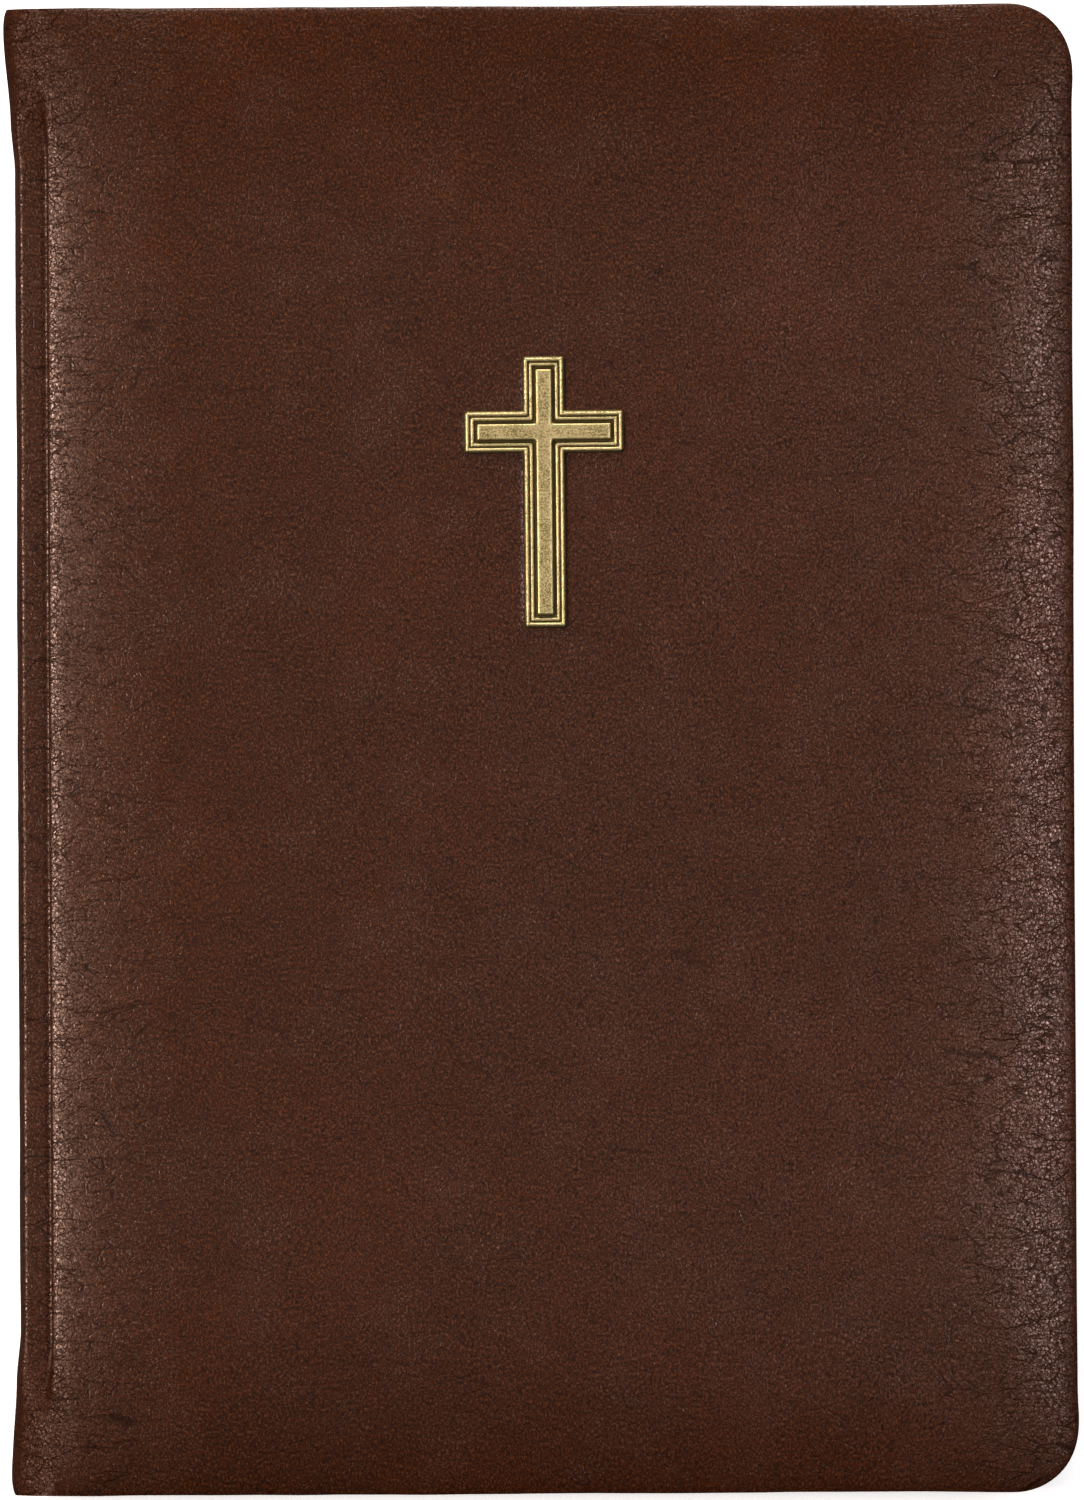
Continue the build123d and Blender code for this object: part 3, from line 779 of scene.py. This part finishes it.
def build_cross():
    """The cast emblem in its seat on the front cover, turned a hair from square as it was fitted by hand."""
    seat = SKIN_HIGH[2] - 0.3
    profile = cross_profile()
    points, wear = [], []
    for inset, height, worn_and_shaded in profile:
        flat = cross_ring(inset)
        level = np.full(len(flat), seat + height)
        if inset > 2.1:
            level += 0.012 * noise2(flat[:, 0], flat[:, 1], 0.8, 5)
        points.append(np.column_stack([flat, level]))
        wear.append(np.full(len(flat), worn_and_shaded))
    count = len(points[0])
    faces = grid_faces(len(points), count, closed=True)
    stacked = np.concatenate(points)
    last = (len(points) - 1) * count
    faces.append(tuple(range(last, last + count)))
    faces.append(tuple(range(count - 1, -1, -1)))
    piece = make_piece("cross_emblem_casting", stacked, faces, BRASS, {"wear": np.concatenate(wear)})
    centre = Vector((0, (CROSS_LOW[1] + CROSS_HIGH[1]) / 2 * MM, 0))
    turn = Matrix.Translation(centre) @ Matrix.Rotation(math.radians(0.3), 4, "Z") @ Matrix.Translation(-centre)
    piece.data.transform(turn)
    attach(piece, "front_cover")
    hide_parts("cross_emblem")
    return piece


# ---------------------------------------------------------------- leaves and endpapers


def leaf_block(name, x0, x1, z0, z1, half_y, corner, material, seed, ragged, wall_rows=3):
    """A stack of leaves as one closed piece, rounded at the fore-edge corners."""
    along = np.concatenate([[0, 0.15, 0.5], np.linspace(1.2, 34, 22), np.linspace(40, x1 - x0 - corner, 11)])
    ends = corner * (1 - np.cos(np.radians(np.linspace(0, 90, 9))))
    inner = np.linspace(corner, 2 * half_y - corner, 22)[1:-1]
    ys = np.concatenate([ends, inner, 2 * half_y - ends[::-1]]) - half_y
    e = half_y - np.abs(ys)
    reach = x1 - corner + np.sqrt(np.maximum(corner**2 - np.maximum(corner - e, 0) ** 2, 0))
    tail = corner * np.sin(np.radians(np.linspace(0, 90, 8)))[1:]
    share = np.concatenate([along / (x1 - x0), (x1 - x0 - corner + tail) / (x1 - x0)])
    x = x0 + (reach[:, None] - x0) * share
    x += ragged * noise2(ys, ys * 0, 31, seed)[:, None] * smooth((x - (x1 - 30)) / 30)
    y = np.repeat(ys[:, None], x.shape[1], 1)
    rows, columns = x.shape
    rounding = 0.5 * (z1 - z0)
    near = np.clip(1 - (x - x0) / max(rounding, 0.05), 0, 1)
    pinch = (1 - np.sqrt(1 - near**2 * 0.96)) * rounding
    top = np.stack([x, y, z1 - pinch], 2).reshape(-1, 3)
    under = np.stack([x, y, z0 + pinch], 2).reshape(-1, 3)
    points = [top, under]
    faces = grid_faces(rows, columns) + grid_faces(rows, columns, first=rows * columns, flip=True)
    loop = (
        [(0, c) for c in range(columns)]
        + [(r, columns - 1) for r in range(1, rows)]
        + [(rows - 1, c) for c in range(columns - 2, -1, -1)]
        + [(r, 0) for r in range(rows - 2, 0, -1)]
    )
    index = np.array([r * columns + c for r, c in loop])
    edge = [np.zeros(len(top)), np.zeros(len(under))]
    base = 2 * rows * columns
    for k in range(wall_rows + 1):
        t = k / wall_rows
        points.append(top[index] * (1 - t) + under[index] * t)
        edge.append(np.ones(len(index)))
        if k:
            a, b = base + (k - 1) * len(index), base + k * len(index)
            for i in range(len(index)):
                j = (i + 1) % len(index)
                faces.append((a + i, b + i, b + j, a + j))
    all_points = np.concatenate(points)
    return make_piece(name, all_points, faces, material, {"edge": np.concatenate(edge), "rest": all_points})


def build_leaves():
    """Each section as three packs of leaves, each reaching from its fold to its own fore-edge."""
    packs = 3
    for number in range(1, SECTIONS + 1):
        node = f"section_{number:02d}"
        low, high = box_mm(node)
        thick = (high[2] - low[2]) / packs
        for pack in range(packs):
            z1 = high[2] - pack * thick - 0.004
            z0 = z1 - thick + 0.008
            fold = low[0] + (0.3 if pack != 1 else 0.02)
            jut = 0.14 * float(noise2(number * 1.7, pack * 2.3, 1.0, 3))
            piece = leaf_block(
                f"leaves_{number:02d}_{'abc'[pack]}", fold, high[0] + jut, z0, z1,
                high[1] + 0.3 * jut, LEAF_CORNER, PAGE, number * 5 + pack, 0.08,
            )
            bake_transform(piece)
            if pack == 0:
                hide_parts(node)


def build_endpapers():
    """The flyleaves, and the strip of each endpaper that crosses the joint to its pastedown."""
    for name, side in (("front", 1), ("back", -1)):
        low, high = box_mm(f"{name}_flyleaf")
        leaf = leaf_block(
            f"{name}_flyleaf_sheet", low[0] - 0.2, high[0], low[2], high[2], high[1], LEAF_CORNER,
            ENDPAPER, 3 + side, 0.03, wall_rows=1,
        )
        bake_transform(leaf)
        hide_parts(f"{name}_flyleaf")

        # a flat fold lying in the joint: out from the flyleaf, round, and back to the pastedown
        paste_low, paste_high = box_mm(f"{name}_pastedown")
        fold_h = abs((low[2] + high[2]) / 2 - MID_Z)
        paste_h = abs((paste_low[2] + paste_high[2]) / 2 - MID_Z)
        right = paste_low[0] + 0.3
        path = [
            (right, fold_h), (right - 1.2, fold_h - 0.12), (right - 2.1, fold_h - 0.2),
            (right - 2.55, fold_h - 0.12), (right - 2.7, fold_h + 0.03), (right - 2.45, fold_h + 0.15),
            (right - 1.9, fold_h + 0.17), (right - 1.0, paste_h - 0.08), (right, paste_h),
        ]
        path = softened(resample(path, np.linspace(0, length_of(path), 34)), 2)
        half = paste_high[1]
        ys = np.linspace(-half, half, 30)
        points = np.zeros((len(ys), len(path), 3))
        points[:, :, 0], points[:, :, 2] = path[:, 0], MID_Z + side * path[:, 1]
        points[:, :, 1] = ys[:, None]
        points = points.reshape(-1, 3)
        strip = make_piece(
            f"{name}_endpaper_joint", points, grid_faces(len(ys), len(path), flip=side > 0), ENDPAPER,
            {"rest": points, "edge": np.zeros(len(points))},
        )
        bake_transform(strip)


# ---------------------------------------------------------------- spine trim


def tube(path, radius, sides=8):
    """Points and quads of a tube along a path, with closed ends; radius may be a list."""
    path = np.asarray(path, float)
    radius = np.broadcast_to(radius, len(path))
    ahead = np.gradient(path, axis=0)
    ahead /= np.linalg.norm(ahead, axis=1)[:, None]
    up = np.array([0.0, 1.0, 0.0]) if abs(ahead[0, 1]) < 0.9 else np.array([1.0, 0.0, 0.0])
    across = np.cross(ahead, up)
    across /= np.linalg.norm(across, axis=1)[:, None]
    other = np.cross(across, ahead)
    turn = np.linspace(0, 2 * math.pi, sides, endpoint=False)
    points = (
        path[:, None, :]
        + radius[:, None, None] * np.cos(turn)[None, :, None] * across[:, None, :]
        + radius[:, None, None] * np.sin(turn)[None, :, None] * other[:, None, :]
    ).reshape(-1, 3)
    faces = grid_faces(len(path), sides, closed=True, flip=True)
    faces.append(tuple(range(sides)))
    faces.append(tuple(range(len(points) - 1, len(points) - 1 - sides, -1)))
    return points, faces


def build_bands():
    """Head and tail bands: a core wound with thread in two colours, and the cloth tab glued to the spine."""
    for name, side in (("headband", 1), ("tailband", -1)):
        low, high = box_mm(name)
        centre_x = CREST_X + SPINE_RADIUS
        radius, core = 11.9, 0.74
        bead_y = high[1] - 0.8 if side > 0 else low[1] + 0.8
        reach = math.degrees(math.asin(6.7 / radius))
        angles = np.radians(np.linspace(-reach, reach, 200))
        path = np.stack(
            [centre_x - radius * np.cos(angles), np.full(200, bead_y), MID_Z + radius * np.sin(angles)], 1
        )
        along = radius * (angles - angles[0])
        wound = core + 0.06 * np.abs(np.sin(along * math.pi / 0.55 * 2))
        points, faces = tube(path, wound, 14)
        slope = np.tile(np.arange(14) / 14 * 0.25, 200)
        piece = make_piece(f"{name}_winding", points, faces, BAND, {"along": np.repeat(along, 14) + slope})
        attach(piece, "spine")
        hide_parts(name)
        tab_r = 12.72
        tab_angles = np.radians(np.linspace(-31, 31, 30))
        inner, outer = bead_y, bead_y - side * 9.3
        ys = np.linspace(inner, outer, 8)
        points = np.array(
            [(centre_x - tab_r * math.cos(a), y, MID_Z + tab_r * math.sin(a)) for y in ys for a in tab_angles]
        )
        tab = make_piece(
            f"{name}_tab", points, grid_faces(8, 30), GAUZE, {"along": points[:, 1]}
        )
        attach(tab, "spine")


def build_threads():
    """The sewing: long stitches inside each fold, and the runs across the folds at each station."""
    points, faces = [], []

    def put(path, radius):
        """Adds a tube along a path."""
        made, quads = tube(path, radius, 6)
        first = sum(len(p) for p in points)
        points.append(made)
        faces.extend(tuple(first + i for i in quad) for quad in quads)

    for number in range(1, SECTIONS + 1):
        low, high = box_mm(f"thread_{number:02d}")
        z = (low[2] + high[2]) / 2
        x_in, x_out = high[0] - 0.17, low[0]
        for a, b in zip(STATIONS[::2], STATIONS[1::2]):
            inside = [(x_in, a + 0.2, z), (x_in, (a + b) / 2, z), (x_in, b - 0.2, z)]
            put([(x_out, a, z), (x_in - 0.1, a, z), *inside, (x_in - 0.1, b, z), (x_out, b, z)], 0.15)
    low, high = box_mm("spine_stitches")
    centre_x, radius = CREST_X + SPINE_RADIUS, 12.71
    angles = np.radians(np.linspace(-32, 32, 24))
    arc_x, arc_z = centre_x - radius * np.cos(angles), MID_Z + radius * np.sin(angles)
    for y in STATIONS:
        put(np.stack([arc_x, np.full(24, y), arc_z], 1), 0.15)
    piece = make_piece("sewing_thread", np.concatenate(points), faces, THREAD)
    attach(piece, "spine")
    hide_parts("spine_stitches", *[f"thread_{n:02d}" for n in range(1, SECTIONS + 1)])


def dress_nodes():
    """Gives the CAD nodes that stay their materials."""
    finishes = {
        "board": GREY_BOARD, "infill_card": GREY_BOARD, "gauze_flap": GAUZE, "pastedown": ENDPAPER,
        "spine_card": GREY_BOARD, "spine_gauze": GAUZE, "spine_liner": KRAFT, "emblem_washers": WASHER,
    }
    for name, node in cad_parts.items():
        key = next((k for k in finishes if name.endswith(k)), None)
        if key is None:
            continue
        node.data.materials.clear()
        node.data.materials.append(finishes[key])
        co = np.zeros(len(node.data.vertices) * 3)
        node.data.vertices.foreach_get("co", co)
        rest = node.data.attributes.new("rest", "FLOAT_VECTOR", "POINT")
        rest.data.foreach_set("vector", (co / MM).astype(np.float32))


# ---------------------------------------------------------------- stage, light and camera


def build_stage():
    """A white floor, soft side lights and the camera straight above."""
    s = Shader("floor")
    s.finish(Base_Color=(0.9, 0.9, 0.9), Roughness=0.9, Emission_Color=(1.0, 1.0, 1.0), Emission_Strength=0.55)
    mesh = bpy.data.meshes.new("floor")
    corners = [(x, y, FLOOR_Z) for x, y in ((-3, -3), (3, -3), (3, 3), (-3, 3))]
    mesh.from_pydata(corners, [], [(0, 1, 2, 3)])
    mesh.materials.append(s.material)
    floor = bpy.data.objects.new("floor", mesh)
    bpy.context.scene.collection.objects.link(floor)
    floor.visible_glossy = False

    world = bpy.data.worlds.new("studio")
    world.use_nodes = True
    world.node_tree.nodes["Background"].inputs[0].default_value = (1.0, 0.98, 0.95, 1.0)
    world.node_tree.nodes["Background"].inputs[1].default_value = 0.06
    bpy.context.scene.world = world

    target = Vector((0, 0, 0.02))
    lights = [
        # name, tilt from vertical, heading, distance, width, length, power, colour
        ("left_box", 43, 180, 1.1, 0.42, 0.30, 14.0, (1.0, 0.87, 0.78)),
        ("right_box", 22, -4, 1.2, 0.18, 0.36, 4.9, (1.0, 0.94, 1.0)),
        ("head_box", 72, 86, 0.8, 0.7, 0.3, 9.5, (1.0, 0.95, 0.88)),
    ]
    for name, tilt, heading, distance, width, length, power, colour in lights:
        a, b = math.radians(tilt), math.radians(heading)
        way = Vector((math.sin(a) * math.cos(b), math.sin(a) * math.sin(b), math.cos(a)))
        data = bpy.data.lights.new(name, "AREA")
        data.shape = "RECTANGLE"
        data.size, data.size_y = width, length
        data.energy, data.color = power, colour
        lamp = bpy.data.objects.new(name, data)
        lamp.location = target + way * distance
        y_axis = Vector((0, 1, 0)) - way * way.y
        if y_axis.length < 0.2:
            y_axis = Vector((1, 0, 0)) - way * way.x
        y_axis.normalize()
        axes = Matrix((y_axis.cross(way), y_axis, way)).transposed().to_4x4()
        lamp.matrix_world = Matrix.Translation(lamp.location) @ axes
        bpy.context.scene.collection.objects.link(lamp)

    data = bpy.data.cameras.new("camera")
    frame_height = IMAGE_HEIGHT * PIXEL_MM * MM
    data.sensor_width = SENSOR_MM
    data.lens = SENSOR_MM * CAMERA_DISTANCE / frame_height
    camera = bpy.data.objects.new("camera", data)
    camera.location = (-0.00055, 0.0, SKIN_HIGH[2] * MM - 0.004 + CAMERA_DISTANCE)
    camera.rotation_euler = (0, 0, math.radians(-0.27))
    bpy.context.scene.collection.objects.link(camera)
    bpy.context.scene.camera = camera
    bpy.context.scene.view_settings.view_transform = "Standard"


build_stage()
build_case()
build_cross()
build_leaves()
build_endpapers()
build_bands()
build_threads()
dress_nodes()
